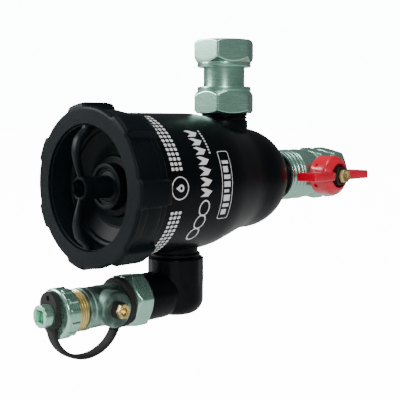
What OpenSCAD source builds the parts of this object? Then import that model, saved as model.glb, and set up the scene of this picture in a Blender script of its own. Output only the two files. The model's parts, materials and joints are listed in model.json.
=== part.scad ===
// Magnetic system filter for 28 mm heating pipework, with an outlet ball valve and a drain valve.
// Main axis along Y, cap towards -Y. Origin at the mouth of the outlet pipe socket.
// Stations along the main axis are measured from the inlet axis; the drain's from the elbow axis.

/* [Filter body] */
// Outer radius of the barrel
body_r = 46; // [42:0.5:52]
// Outer radius of the narrower tail and of its round end
tail_r = 36; // [33:0.5:38]
// Wall thickness of the body
body_wall = 4; // [3:0.25:5]
// Distance from the inlet axis to the outlet pipe socket's mouth
outlet_reach = 125; // [120:1:150]

/* [Locking ring and cap] */
// Radius over the grip lobes
lobe_r = 52.4; // [51:0.2:56]
// Radius between the grip lobes
valley_r = 48.6; // [48:0.2:50]
// Number of grip lobes
lobe_count = 7; // [5:1:10]
// Length of the ring
ring_len = 25.5; // [22:0.5:30]
// Radius of the recess in the cap
recess_r = 38; // [34:0.5:38.4]
// Radius of the ledge round the recess floor
ledge_r = 35.3; // [32:0.1:35.4]
// Outer radius of the channel in the recess floor
channel_r = 26.2; // [24:0.1:28]

/* [Unions] */
// Radius of the 1 inch pipe thread's crest
thread_r = 16.6; // [16.6:0.1:16.8]
// Width across flats of the union nuts
union_af = 38; // [37:0.5:41]
// Outer radius of the inlet tail pipe
tail_pipe_r = 14.4; // [14:0.1:14.6]
// Radius of the outlet pipe socket
socket_r = 14.05; // [14:0.05:14.3]

/* [Outlet valve lever] */
// Radius of the lever's hub
hub_r = 14.8; // [13:0.2:15.5]
// Half span of the lever's wings
wing_reach = 33.2; // [24:0.2:34]
// Thickness of the wings
wing_t = 6.4; // [5:0.2:8]

/* [Drain] */
// Distance from the inlet axis back to the drain axis
drain_back = 47.2; // [44:0.2:52]
// Depth of the drain valve's axis below the main axis
drain_drop = 74.2; // [73.5:0.1:80]
// Radius over the drain cap
cap_r = 15.5; // [15:0.1:17]
// Number of grip lobes on the drain cap
cap_lobes = 12; // [8:1:16]

/* [Hidden] */
$fn = 72;
fit = 0.3;
drain_y = -outlet_reach - drain_back;
drain_z = -drain_drop;
ring_front = -122.5;
ring_rear = ring_front + ring_len;
ring_lip = 4;
neck_r = 45.2;
rim_y = -114;
floor_y = 19;
floor_t = 8.5;
channel_depth = 5.5;
channel_foot_r = 19.5;
sleeve_hole_r = 9.8;
floor_station = ring_front + floor_y;
o_ring_z = 1.6;
opening_r = 40;
washer_t = 0.8;
split_y = -66;
shoulder_y = -32;
tail_y = 3;
dome_y = 14;
port_end = 66;
bore_r = 12.5;
nut_hex_h = 13.8;
nut_thread_h = 11;
nut_collar_h = 4.8;
nut_turn = 2;
valve_af = 36;
nut_bore_r = thread_r + fit;
inlet_seat = 58;
tail_flange_t = 3;
lower_nut_z = 46;
inlet_top = 96.8;
upper_nut_z = inlet_top - nut_hex_h - nut_collar_h;
ball_y = 84;
ball_r = 12.2;
ball_bore_r = 9;
hub_back = 22.4;
hub_front = 36.4;
hub_face = 40;
wing_back = 25.4;
wing_front = 42.9;
drain_thread_r = 13.2;
drain_body_r = 12.8;
drain_ball_s = 65.6;
drain_ball_r = 9;
boss_x = 18;
cap_back = 90.3;
cap_front = 100.2;
outlet_end = 96.3;
key_len = 10.2;
strap_w = 7;
strap_t = 2.6;

// Local +Z points along the main axis towards the outlet, from a station on it.
module along(y) translate([0, y - outlet_reach, 0]) rotate([-90, 0, 0]) children();

// Local +Z points towards the cap, local +Y stays up.
module facing(y) translate([0, y - outlet_reach, 0]) rotate([90, 0, 0]) children();

// Local +Z points out along the drain arm, from a station on it.
module on_drain(s) translate([0, drain_y - s, drain_z]) rotate([90, 0, 0]) children();

// Local +Z points along the inlet axis.
module on_inlet(z) translate([0, -outlet_reach, z]) children();

module tube(r, bore, h) {
  difference() {
    cylinder(r = r, h = h);
    translate([0, 0, -1]) cylinder(r = bore, h = h + 2);
  }
}

module o_ring(r, section) rotate_extrude() translate([r, 0]) circle(r = section, $fn = 24);

// A cylinder whose surface carries thread crests.
module threaded(r, h, pitch = 2.3, depth = 1.1) {
  turns = floor(h / pitch);
  crests = [for (i = [0:turns - 1]) each [
    [r - depth, i * pitch], [r, (i + 0.4) * pitch], [r, (i + 0.6) * pitch]
  ]];
  rotate_extrude() polygon(concat([[0, 0]], crests, [[r - depth, h], [0, h]]));
}

// A hexagon with its corners turned down at both ends.
module chamfered_hex(af, h, turn = 0) {
  corner = af / sqrt(3);
  drop = (corner - af / 2) * 0.62;
  intersection() {
    rotate([0, 0, turn]) cylinder(r = corner, h = h, $fn = 6);
    rotate_extrude() polygon([
      [0, 0], [af / 2 + 0.4, 0], [corner + 0.01, drop], [corner + 0.01, h - drop],
      [af / 2 + 0.4, h], [0, h]
    ]);
  }
}

// A union nut: hexagon with a round collar that holds the tail's flange.
module union_nut(turn, bore) {
  lip_r = tail_pipe_r + 0.4;
  difference() {
    union() {
      chamfered_hex(union_af, nut_hex_h, turn);
      translate([0, 0, nut_hex_h - 0.01]) cylinder(r = union_af / 2 - 0.2, h = nut_collar_h);
    }
    translate([0, 0, -1]) cylinder(r = bore, h = nut_hex_h);
    translate([0, 0, nut_thread_h]) cylinder(r = bore + 0.3, h = nut_hex_h + 1.8 - nut_thread_h);
    cylinder(r = lip_r, h = nut_hex_h + nut_collar_h + 1);
  }
}

// Two rings that cradle a ball, from near to far off its centre along the bore.
module seat_pair(ball, bore, outer, near, far) {
  for (side = [0, 1]) mirror([0, 0, side]) difference() {
    translate([0, 0, near]) tube(outer, bore, far - near);
    sphere(r = ball + 0.06);
  }
}

// A bored ball with a slot on its +X side for the stem's tang.
module ball(r, bore) {
  slot_half = 1.6;
  difference() {
    sphere(r = r);
    translate([0, 0, -r]) cylinder(r = bore, h = 2 * r);
    translate([r - 2.6, -slot_half, -r / 2]) cube([3, 2 * slot_half, r]);
  }
}

// Front of the body moulding, with the threaded neck for the ring.
module filter_body() {
  color([0.07, 0.09, 0.10]) difference() {
    union() {
      along(0) rotate_extrude() polygon([
        [0, rim_y], [neck_r - 0.8, rim_y], [neck_r - 0.8, ring_rear - 3.5], [neck_r, ring_rear - 3],
        [neck_r, ring_rear + 0.5], [body_r, ring_rear + 0.5], [body_r, split_y], [0, split_y]
      ]);
      along(rim_y) threaded(neck_r, 12.6, 3, 1.2);
    }
    along(rim_y - 1) cylinder(r = body_r - body_wall, h = split_y - rim_y + 2);
  }
}

// Rear of the same moulding, with the inlet and outlet ports and the drain neck.
module body_tail() {
  inner = body_r - body_wall;
  inner_tail = tail_r - body_wall;
  color([0.07, 0.09, 0.10]) difference() {
    union() {
      along(0) rotate_extrude() polygon([
        [0, split_y], [body_r, split_y], [body_r, shoulder_y], [tail_r, tail_y], [tail_r, dome_y], [0, dome_y]
      ]);
      along(dome_y) sphere(r = tail_r);
      along(dome_y) cylinder(r = thread_r + 1.6, h = 36);
      along(dome_y + 35.5) threaded(thread_r, port_end - dome_y - 35.5);
      on_inlet(30) cylinder(r = thread_r + 0.2, h = 11);
      on_inlet(40.5) threaded(thread_r, inlet_seat - 40.5);
      translate([0, drain_y, -body_r - 4]) cylinder(r = 15, h = 12);
      translate([0, drain_y, -body_r - 15]) threaded(drain_thread_r, 13);
    }
    along(0) rotate_extrude() polygon(concat(
      [[0, split_y - 1], [inner, split_y - 1], [inner, shoulder_y], [inner_tail, tail_y]],
      [for (a = [0:15:75]) [inner_tail * cos(a), dome_y + inner_tail * sin(a)]],
      [[0, dome_y + inner_tail]]
    ));
    along(dome_y) cylinder(r = bore_r, h = port_end);
    on_inlet(20) cylinder(r = bore_r, h = inlet_seat);
    translate([0, drain_y, -body_r - 16]) cylinder(r = 9, h = 26);
  }
}

// The cap's dish: a plug in the body's mouth, a flange on its rim and a tube boss in a channelled floor.
module head() {
  cup_r = opening_r - 0.4;
  plug_r = body_r - body_wall - 0.25;
  rim_z = floor_y - (rim_y - ring_front);
  flange_t = 2.9;
  boss_r = 14.5;
  boss_h = 4;
  step_z = -3;
  color([0.06, 0.08, 0.09]) facing(floor_station) {
    difference() {
      union() {
        translate([0, 0, -floor_t]) cylinder(r = cup_r, h = floor_t + floor_y - 1.5);
        translate([0, 0, -floor_t]) cylinder(r = plug_r, h = floor_t + rim_z + 0.5);
        translate([0, 0, rim_z]) cylinder(r = neck_r - 0.4, h = flange_t);
      }
      rotate_extrude() polygon([
        [0, floor_y + 1], [recess_r, floor_y + 1], [recess_r, 1.6], [ledge_r, 0], [ledge_r, -1],
        [channel_r, -channel_depth], [channel_foot_r, -channel_depth], [channel_foot_r - 0.6, step_z],
        [0, step_z]
      ]);
      translate([0, 0, -floor_t - 1]) cylinder(r = sleeve_hole_r, h = floor_t + 1);
      translate([0, 0, o_ring_z - 1.4]) tube(neck_r, plug_r - 2.45, 2.8);
    }
    difference() {
      translate([0, 0, step_z - 1]) cylinder(r = boss_r, h = boss_h - step_z + 1);
      translate([0, 0, boss_h - 1.8]) cylinder(r = boss_r - 2.5, h = 3);
      translate([0, 0, -floor_t]) cylinder(r = sleeve_hole_r, h = floor_t + boss_h + 1);
    }
  }
}

module head_o_ring() {
  color([0.05, 0.05, 0.05]) facing(floor_station - o_ring_z) o_ring(body_r - body_wall - 1.35, 1.3);
}

// Dry pocket that keeps the magnets out of the water.
module magnet_sleeve() {
  sleeve_front = floor_station + 2;
  flange_z = floor_t - 2 + 0.2;
  color([0.75, 0.76, 0.76]) along(sleeve_front) difference() {
    union() {
      cylinder(r = 9.7, h = 96);
      translate([0, 0, 96]) sphere(r = 9.7);
      translate([0, 0, flange_z]) cylinder(r = 13, h = 2);
    }
    translate([0, 0, -1]) cylinder(r = 8.9, h = 97);
    translate([0, 0, 96]) sphere(r = 8.9);
  }
}

// Swirl vanes on a short tube pressed into the outlet port.
module vortex_insert() {
  color([0.82, 0.83, 0.80]) along(-2) {
    tube(17, 14.6, 14);
    translate([0, 0, 13.9]) difference() {
      cylinder(r1 = 17, r2 = bore_r - 0.15, h = 14);
      translate([0, 0, -1]) cylinder(r1 = 15, r2 = 10.4, h = 15.2);
    }
    translate([0, 0, 27.8]) tube(bore_r - 0.15, 10.6, 26);
    for (i = [0:5]) rotate([0, 0, i * 60]) translate([16, -1, 2]) rotate([0, 28, 0])
      cube([9.5, 2, 8]);
  }
}

module ring_outline() {
  top_half = 5;
  foot_half = 10.4;
  foot_r = valley_r - 1.5;
  circle(r = valley_r);
  intersection() {
    circle(r = lobe_r);
    union() for (i = [0:lobe_count - 1]) rotate(i * 360 / lobe_count - 1.5) polygon([
      [0, 0], [foot_r * cos(foot_half), -foot_r * sin(foot_half)],
      [(lobe_r + 1) * cos(top_half), -(lobe_r + 1) * sin(top_half)],
      [(lobe_r + 1) * cos(top_half), (lobe_r + 1) * sin(top_half)],
      [foot_r * cos(foot_half), foot_r * sin(foot_half)]
    ]);
  }
}

module locking_ring() {
  color([0.08, 0.11, 0.13]) along(ring_front) difference() {
    intersection() {
      mirror([0, 1, 0]) linear_extrude(ring_len) ring_outline();
      rotate_extrude() polygon([
        [0, 0], [lobe_r - 2, 0], [lobe_r + 0.1, 2.4], [lobe_r + 0.1, ring_len - 5],
        [valley_r - 0.6, ring_len], [0, ring_len]
      ]);
    }
    translate([0, 0, -1]) cylinder(r = opening_r, h = ring_len + 2);
    translate([0, 0, ring_lip]) cylinder(r = neck_r + 0.45, h = ring_len);
  }
}

module slip_washer() {
  color([0.85, 0.85, 0.82]) along(ring_front + ring_lip + 0.02) tube(neck_r, opening_r + 0.4, washer_t);
}

// Arched bar with an eye, on a shaft that carries the magnets.
module pull_handle() {
  bar_end = recess_r - 0.5;
  eye_front = 5.5;
  color([0.10, 0.13, 0.15]) facing(ring_front) difference() {
    union() {
      translate([0, 0, -27]) cylinder(r = 7, h = 27 + eye_front);
      translate([0, 0, eye_front - 6]) cylinder(r = 7.6, h = 6);
      translate([0, 0, -19]) cylinder(r = 9.6, h = 2);
      for (side = [0, 1]) mirror([0, side, 0]) {
        rotate([0, -90, 0]) linear_extrude(7, center = true) polygon([
          [-2.5, bar_end], [3, bar_end - 1.5], [7.6, 31], [8.4, 25], [7.2, 18], [5.4, 6.6],
          [0.6, 6.6], [3.4, 20], [4.2, 25], [3.0, 30], [-6, bar_end - 0.5]
        ]);
      }
    }
    translate([0, 0, eye_front - 9]) cylinder(r = 5.9, h = 12, $fn = 6);
    translate([0, 0, -28]) cylinder(r = 2.1, h = 12);
    for (side = [0, 1]) mirror([0, side, 0]) for (x = [-1, 1])
      translate([x * 6.3, 6, -4]) rotate([0, 0, x * 3]) translate([-4, 0, 0]) cube([8, 14, 20]);
  }
}

// Disc magnets and pole pieces on a through rod.
module magnet_stack() {
  color([0.62, 0.63, 0.65]) along(ring_front + 28) {
    cylinder(r = 2, h = 84);
    for (i = [0:5]) translate([0, 0, 1 + i * 14]) {
      tube(8.4, 2, 11);
      translate([0, 0, 11]) tube(7.8, 2, 2);
    }
    translate([0, 0, -10]) cylinder(r = 2, h = 10.01);
  }
}

// Clip that keeps the magnet assembly on its handle.
module handle_circlip() {
  color([0.5, 0.5, 0.52]) along(ring_front + 27.1) difference() {
    tube(6, 2.1, 0.8);
    translate([0, -1.5, -1]) cube([8, 3, 3]);
  }
}

module inlet_washer() {
  color([0.35, 0.50, 0.42]) on_inlet(inlet_seat + 0.05) tube(16.2, bore_r, 1.5);
}

// Short tail pipe with a flange inside each union nut.
module inlet_tail() {
  foot = inlet_seat + 1.6;
  flange_r = thread_r - 0.2;
  head_z = upper_nut_z + 3.1;
  color([0.72, 0.80, 0.76]) on_inlet(0) difference() {
    union() {
      translate([0, 0, foot]) cylinder(r = flange_r, h = 1.7);
      translate([0, 0, foot]) cylinder(r = tail_pipe_r, h = head_z + 2 - foot);
      translate([0, 0, head_z]) cylinder(r = flange_r, h = 2.6);
    }
    translate([0, 0, foot - 1]) cylinder(r = 12.6, h = 40);
  }
}

module inlet_nut() {
  color([0.70, 0.80, 0.75]) on_inlet(lower_nut_z - 0.01) union_nut(nut_turn, nut_bore_r + 0.2);
}

module pipe_nut() {
  color([0.70, 0.80, 0.75]) on_inlet(inlet_top) mirror([0, 0, 1])
    union_nut(nut_turn, nut_bore_r);
}

module pipe_washer() {
  color([0.35, 0.50, 0.42]) on_inlet(upper_nut_z + 5.75) tube(16.2, 12.6, 1.5);
}

module outlet_washer() {
  color([0.35, 0.50, 0.42]) along(port_end + 0.05) tube(16.0, bore_r, 1.5);
}

// Flanged tail that the union nut pulls against the washer.
module outlet_tail() {
  color([0.72, 0.80, 0.76]) along(port_end + 1.6) difference() {
    union() {
      cylinder(r = thread_r - 0.3, h = 1.6);
      cylinder(r = 14.2, h = 3.7);
    }
    translate([0, 0, -1]) cylinder(r = bore_r - 1, h = 8);
  }
}

// Round ribbed union nut between the body and the valve.
module outlet_nut() {
  color([0.74, 0.82, 0.78]) along(55.2) difference() {
    rotate_extrude() polygon([
      [0, 0], [17.6, 0], [18.2, 1.2], [18.2, 4], [17.3, 5], [18.8, 6.4], [18.8, 9.4],
      [17.8, 10.4], [19.2, 12], [19.2, 14.4], [18, 15.8], [0, 15.8]
    ]);
    translate([0, 0, -1]) cylinder(r = nut_bore_r, h = 15.1);
    cylinder(r = 14.6, h = 20);
  }
}

module valve_body() {
  end = outlet_reach - 17;
  color([0.72, 0.80, 0.76]) difference() {
    union() {
      along(port_end + 5.3) rotate_extrude() polygon([
        [0, 0], [17.2, 0], [18.4, 1.4], [18.8, 6], [19.2, 7], [19.2, 22.6], [0, 22.6]
      ]);
      along(ball_y + 9.8) chamfered_hex(valve_af, 14.2, 12);
      along(ball_y + 23.5) cylinder(r = 16.2, h = 2);
      along(end) threaded(thread_r, 11, 1.8, 0.9);
      translate([12, ball_y - outlet_reach, 0]) rotate([0, 90, 0]) cylinder(r = 8.2, h = 12.4);
    }
    along(port_end + 5) cylinder(r = bore_r - 1, h = 50);
    along(ball_y - 10.4) cylinder(r = 13.2, h = 20.8);
    along(end - 3) cylinder(r = socket_r, h = 20);
    translate([0, ball_y - outlet_reach, 0]) rotate([0, 90, 0]) cylinder(r = 4.1, h = 30);
  }
}

module valve_seats() {
  color([0.95, 0.95, 0.92]) along(ball_y) seat_pair(ball_r, 9.6, 13.1, 6.6, 10.3);
}

module valve_ball() {
  color([0.86, 0.87, 0.88]) along(ball_y) ball(ball_r, ball_bore_r);
}

module valve_stem() {
  color([0.80, 0.66, 0.30]) translate([0, ball_y - outlet_reach, 0]) rotate([0, 90, 0]) difference() {
    union() {
      translate([0, 0, ball_r + 0.1]) cylinder(r = 4, h = 42.7 - ball_r);
      translate([0, 0, 42.7]) cylinder(r = 5.4, h = 3.3, $fn = 6);
      translate([-1.3, -2.8, ball_r - 2.2]) cube([2.6, 5.6, 2.6]);
    }
    translate([0, 0, 43.4]) cylinder(r = 1.9, h = 4);
  }
}

module stem_gland() {
  color([0.06, 0.06, 0.06]) translate([24.5, ball_y - outlet_reach, 0]) rotate([0, 90, 0])
    tube(8.4, 4.1, 2.4);
}

// Butterfly lever: cup-shaped hub with one bar-like wing on each side.
module lever() {
  half = wing_t / 2;
  color([0.85, 0.05, 0.10]) translate([0, ball_y - outlet_reach, 0]) rotate([0, 90, 0]) difference() {
    union() {
      rotate_extrude() polygon([
        [0, 27.2], [8.9, 27.2], [8.9, hub_back + 0.6], [hub_r - 0.5, hub_back], [hub_r, hub_back + 0.6],
        [hub_r, hub_front], [10.2, hub_face], [0, hub_face]
      ]);
      translate([-half, -wing_reach, wing_back]) cube([wing_t, 2 * wing_reach, wing_front - wing_back]);
    }
    translate([0, 0, 31.2]) cylinder(r = 8.8, h = 20);
    translate([0, 0, 20]) cylinder(r = 4.1, h = 20);
    translate([0, 0, 20]) cylinder(r = 8.9, h = 7.21);
    for (a = [60, 120, 240, 300]) rotate([0, 0, a]) translate([hub_r - 1, 0, 27.5]) rotate([0, 90, 0])
      cylinder(r = 1.5, h = 2);
  }
}

// Bright plate on the floor of the hub's recess.
module lever_plate() {
  color([0.95, 0.95, 0.97]) translate([31.25, ball_y - outlet_reach, 0]) rotate([0, 90, 0]) difference() {
    cylinder(r = 8.5, h = 1.2);
    translate([0, 0, -1]) cylinder(r = 4.1, h = 4);
  }
}

module lever_nut() {
  color([0.08, 0.07, 0.06]) translate([32.5, ball_y - outlet_reach, 0]) rotate([0, 90, 0]) difference() {
    chamfered_hex(13.4, 10, 30);
    translate([0, 0, -1]) cylinder(r = 4.1, h = 14);
  }
}

module olive() {
  color([0.83, 0.70, 0.36]) along(outlet_reach - 5.9) rotate_extrude() polygon([
    [socket_r, 0], [14.6, 0], [15.6, 1.6], [15.6, 2.2], [14.8, 3.2], [socket_r, 3.2]
  ]);
}

module compression_nut() {
  color([0.70, 0.80, 0.75]) along(outlet_reach - 14.2) difference() {
    chamfered_hex(valve_af, 14.2, 12);
    translate([0, 0, -1]) cylinder(r = nut_bore_r, h = 12.6);
    cylinder(r = socket_r, h = 20);
  }
}

// Faceted plastic elbow from the drain port to the drain valve.
module elbow() {
  branch_r = 15.6;
  leg_r = 18.6;
  leg_top = -body_r - 4.2;
  leg_end = drain_z - 14.8;
  heel_r = 10;
  branch_len = 34.4;
  color([0.06, 0.08, 0.10]) difference() {
    union() {
      translate([0, drain_y, leg_top - 14]) intersection() {
        rotate([0, 0, 22.5]) cylinder(r = leg_r / cos(22.5) - 0.4, h = 14, $fn = 8);
        cylinder(r = leg_r + 0.3, h = 14);
      }
      translate([0, drain_y, leg_end]) rotate_extrude() polygon(concat(
        [[0, 0]],
        [for (a = [-90:15:0]) [leg_r - heel_r + heel_r * cos(a), heel_r + heel_r * sin(a)]],
        [[leg_r, leg_top - 12 - leg_end], [0, leg_top - 12 - leg_end]]
      ));
      on_drain(4) cylinder(r = branch_r - 0.6, h = 8);
      on_drain(10) cylinder(r = branch_r, h = branch_len - 10);
      on_drain(branch_len - 0.1) threaded(drain_thread_r, 9, 1.8, 0.9);
    }
    translate([0, drain_y, leg_top - 12]) cylinder(r = drain_thread_r + 0.3, h = 20);
    translate([0, drain_y, drain_z]) cylinder(r = 9, h = 40);
    on_drain(0) cylinder(r = 9, h = 60);
    translate([0, drain_y, drain_z]) sphere(r = 9);
  }
}

module elbow_seal() {
  color([0.05, 0.05, 0.05]) translate([0, drain_y, -body_r - 15.6]) tube(12.6, 9.2, 0.55);
}

module drain_washer() {
  color([0.35, 0.50, 0.42]) on_drain(43.4) tube(12.6, 9, 1.2);
}

// Flanged end of the drain valve that sits inside its union nut.
module drain_tail() {
  color([0.72, 0.80, 0.76]) on_drain(44.65) tube(12.9, 8, 1.0);
}

module drain_nut() {
  color([0.70, 0.80, 0.75]) on_drain(34.7) difference() {
    union() {
      chamfered_hex(32.6, 12.3, 8);
      translate([0, 0, 12]) cylinder(r = 14.8, h = 1.2);
    }
    translate([0, 0, -1]) cylinder(r = drain_thread_r + fit, h = 12.2);
    cylinder(r = 11.4, h = 20);
  }
}

module drain_body() {
  color([0.55, 0.63, 0.60]) difference() {
    union() {
      on_drain(45.7) cylinder(r = 11, h = 3);
      on_drain(48.3) cylinder(r = drain_body_r, h = 33.7);
      on_drain(53.6) cylinder(r = drain_body_r + 0.5, h = 2);
      on_drain(78) cylinder(r = drain_body_r + 0.5, h = 4);
      translate([0, drain_y - drain_ball_s, drain_z]) rotate([0, 90, 0]) cylinder(r = 11.3, h = boss_x);
      on_drain(drain_ball_s - 6) cylinder(r = drain_body_r + 0.2, h = 12);
    }
    on_drain(45) cylinder(r = 6, h = 50);
    on_drain(drain_ball_s - 10.2) cylinder(r = drain_ball_r + 0.6, h = 30);
    translate([0, drain_y - drain_ball_s, drain_z]) rotate([0, 90, 0]) cylinder(r = 3.1, h = 30);
  }
}

module drain_seats() {
  color([0.95, 0.95, 0.92]) on_drain(drain_ball_s) seat_pair(drain_ball_r, 5.6, drain_ball_r + 0.5, 5.2, 10.1);
}

module drain_ball() {
  color([0.86, 0.87, 0.88]) on_drain(drain_ball_s) ball(drain_ball_r, 5);
}

module drain_gland() {
  color([0.05, 0.05, 0.05]) translate([boss_x + 0.02, drain_y - drain_ball_s, drain_z]) rotate([0, 90, 0])
    tube(5.3, 3.1, 3.4);
}

// Hexagon-ended spindle that turns the drain ball.
module drain_spindle() {
  color([0.80, 0.66, 0.30]) translate([0, drain_y - drain_ball_s, drain_z]) rotate([0, 90, 0]) difference() {
    union() {
      translate([0, 0, drain_ball_r + 0.1]) cylinder(r = 3, h = boss_x + 3.6 - drain_ball_r);
      translate([-1.3, -2.2, drain_ball_r - 2.2]) cube([2.6, 4.4, 2.6]);
      translate([0, 0, boss_x + 3.6]) cylinder(r = 4.9, h = 3, $fn = 6);
    }
    translate([0, 0, boss_x + 3]) cylinder(r = 2.3, h = 6, $fn = 6);
  }
}

module drain_outlet() {
  color([0.78, 0.65, 0.28]) on_drain(drain_ball_s + 10.3) difference() {
    union() {
      cylinder(r = drain_ball_r + 0.5, h = 8);
      translate([0, 0, 6.2]) cylinder(r = drain_body_r - 0.8, h = 2);
      translate([0, 0, 6.2]) threaded(drain_thread_r, outlet_end - drain_ball_s - 16.5, 1.8, 1);
    }
    translate([0, 0, -1]) cylinder(r = 6, h = 40);
  }
}

module drain_cap() {
  top = cap_front - cap_back;
  color([0.62, 0.70, 0.66]) on_drain(cap_back) difference() {
    union() {
      rotate_extrude() polygon([
        [0, 0], [cap_r - 1, 0], [cap_r - 0.8, top - 2.6], [cap_r, top - 2.2], [cap_r, top - 1.2],
        [cap_r - 1.3, top], [0, top]
      ]);
      for (i = [0:cap_lobes - 1]) rotate([0, 0, i * 360 / cap_lobes]) intersection() {
        translate([cap_r - 3, -1.6, 0.6]) cube([2.9, 3.2, top - 2]);
        cylinder(r = cap_r, h = top);
      }
      translate([0, 0, top - 0.5]) cylinder(r = 7, h = key_len + 0.5);
    }
    translate([0, 0, -1]) cylinder(r = drain_thread_r + fit, h = 8.1);
    translate([-3.75, -3.75, top + key_len - 7]) cube([7.5, 7.5, 8]);
  }
}

module cap_gasket() {
  color([0.05, 0.05, 0.05]) on_drain(outlet_end + 0.05) tube(12.2, 6.2, 0.9);
}

// Rubber strap: an eyelet on the cap's boss, a hanging band and a forked loop round the valve.
module cap_strap() {
  eyelet_s = cap_front + 0.3;
  eyelet_t = 4;
  loop_s = 48.7;
  loop_t = 4.4;
  loop_r = 16.2;
  loop_in = drain_body_r + 0.05;
  far_s = eyelet_s + eyelet_t / 2;
  near_s = loop_s + loop_t / 2 + 1;
  mid_s = (far_s + near_s) / 2;
  half_span = (far_s - near_s) / 2;
  sag = 20.5;
  hang_z = -9.8;
  steps = 18;
  color([0.04, 0.04, 0.05]) {
    on_drain(eyelet_s) difference() {
      union() {
        cylinder(r = 9.6, h = eyelet_t);
        translate([0, 7, 0]) cylinder(r = 7, h = eyelet_t);
        translate([-strap_w / 2, -12, 0]) cube([strap_w, 6, eyelet_t]);
      }
      translate([0, 0, -1]) cylinder(r = 7.3, h = eyelet_t + 2);
      translate([0, 7, -1]) cylinder(r = 3.6, h = eyelet_t + 2);
    }
    on_drain(loop_s) difference() {
      union() {
        cylinder(r = loop_r, h = loop_t);
        linear_extrude(loop_t) polygon([
          [-loop_r + 0.5, -4], [loop_r - 0.5, -4], [strap_w / 2, -20.5], [-strap_w / 2, -20.5]
        ]);
      }
      translate([0, 0, -1]) cylinder(r = loop_in, h = loop_t + 2);
    }
    difference() {
      translate([-strap_w / 2, drain_y, drain_z + hang_z]) rotate([90, 0, 90]) linear_extrude(strap_w)
        polygon(concat(
          [for (i = [0:steps]) let (a = 180 + i * 180 / steps)
            [-mid_s + (half_span + strap_t / 2) * cos(a), (sag + strap_t / 2) * sin(a)]],
          [for (i = [steps:-1:0]) let (a = 180 + i * 180 / steps)
            [-mid_s + (half_span - strap_t / 2) * cos(a), (sag - strap_t / 2) * sin(a)]]
        ));
      on_drain(0) cylinder(r = drain_body_r + 0.8, h = 90);
      on_drain(cap_back - 1) cylinder(r = cap_r + fit, h = cap_front - cap_back + 1 + fit);
    }
  }
}

filter_body();
body_tail();
head();
head_o_ring();
magnet_sleeve();
vortex_insert();
locking_ring();
slip_washer();
pull_handle();
magnet_stack();
handle_circlip();
inlet_washer();
inlet_tail();
inlet_nut();
pipe_nut();
pipe_washer();
outlet_washer();
outlet_tail();
outlet_nut();
valve_body();
valve_seats();
valve_ball();
valve_stem();
stem_gland();
lever();
lever_plate();
lever_nut();
olive();
compression_nut();
elbow();
elbow_seal();
drain_washer();
drain_tail();
drain_nut();
drain_body();
drain_seats();
drain_ball();
drain_gland();
drain_spindle();
drain_outlet();
drain_cap();
cap_gasket();
cap_strap();
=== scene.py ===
"""Magnetic system filter: the finished looks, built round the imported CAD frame.

Shapes are drawn in millimetres in the frame of the piece that they belong to and placed with a matrix,
so stations along the main axis count from the inlet axis and those of the drain from the elbow's axis.
"""

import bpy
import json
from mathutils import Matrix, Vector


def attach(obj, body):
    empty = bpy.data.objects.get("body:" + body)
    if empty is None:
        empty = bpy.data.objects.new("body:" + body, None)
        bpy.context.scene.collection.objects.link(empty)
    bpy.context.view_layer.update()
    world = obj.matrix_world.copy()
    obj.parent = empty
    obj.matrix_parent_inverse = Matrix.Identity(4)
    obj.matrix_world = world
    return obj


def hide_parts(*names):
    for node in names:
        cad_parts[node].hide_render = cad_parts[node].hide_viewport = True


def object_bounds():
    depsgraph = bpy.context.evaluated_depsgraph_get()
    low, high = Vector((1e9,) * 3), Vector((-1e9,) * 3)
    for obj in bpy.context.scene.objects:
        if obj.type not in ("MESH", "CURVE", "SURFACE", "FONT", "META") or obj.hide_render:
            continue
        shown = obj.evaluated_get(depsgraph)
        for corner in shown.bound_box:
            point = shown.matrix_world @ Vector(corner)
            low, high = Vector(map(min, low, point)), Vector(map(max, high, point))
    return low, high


bl_info = {
    "name": "Magnetic System Filter",
    "version": (1, 0, 0),
    "blender": (4, 5, 0),
    "location": "View3D > Sidebar > Filter",
    "description": "Builds a heating system filter with its unions, ball valve and drain",
    "category": "Add Mesh",
}

import json
from math import atan2, cos, exp, log, pi, radians, sin, sqrt

import bmesh
import bpy
from bpy.props import FloatProperty, FloatVectorProperty, IntProperty, PointerProperty
from mathutils import Matrix, Vector
from mathutils.geometry import tessellate_polygon

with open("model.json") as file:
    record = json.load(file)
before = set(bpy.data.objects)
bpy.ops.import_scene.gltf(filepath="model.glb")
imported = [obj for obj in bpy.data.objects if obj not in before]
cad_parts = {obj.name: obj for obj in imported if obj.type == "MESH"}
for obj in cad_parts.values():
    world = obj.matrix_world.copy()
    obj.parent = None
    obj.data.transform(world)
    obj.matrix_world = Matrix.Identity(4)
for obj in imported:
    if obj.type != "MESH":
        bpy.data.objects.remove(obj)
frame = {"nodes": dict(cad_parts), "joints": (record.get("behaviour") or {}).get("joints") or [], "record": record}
CAD_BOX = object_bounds()

MM = 0.001
OPEN = 99.0             # a radius wide enough to leave a row's outline to its function
CONE = 0.62             # height over radius of the cones turned on the nuts' hexagons
CORNER_SHARE = 0.0774   # how far a hexagon's corner stands out, as a share of its width across flats
DRAWN_INLET_TOP = 96.8  # height that the inlet union's rows are drawn for
BACKDROP_GLOW = 14.0


def mount(name):
    """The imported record's mount of that name."""
    return next(m for m in frame["record"]["mounts"] if m["name"] == name)


def joint_point(name):
    """A point on the axis of a joint, in metres."""
    return next(j for j in frame["joints"] if j["name"] == name)["pos_m"]


REACH = -mount("inlet_union")["pos_m"][1]
INLET_TOP = mount("inlet_union")["pos_m"][2] / MM
INLET_LIFT = INLET_TOP - DRAWN_INLET_TOP
DRAIN_Y = joint_point("elbow_swivel")[1]
DRAIN_Z = joint_point("drain_turn")[2]
BALL_Y = joint_point("lever_turn")[1]
DRAIN_BALL_S = (DRAIN_Y - joint_point("drain_turn")[1]) / MM


# ---------------------------------------------------------------- settings

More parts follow.
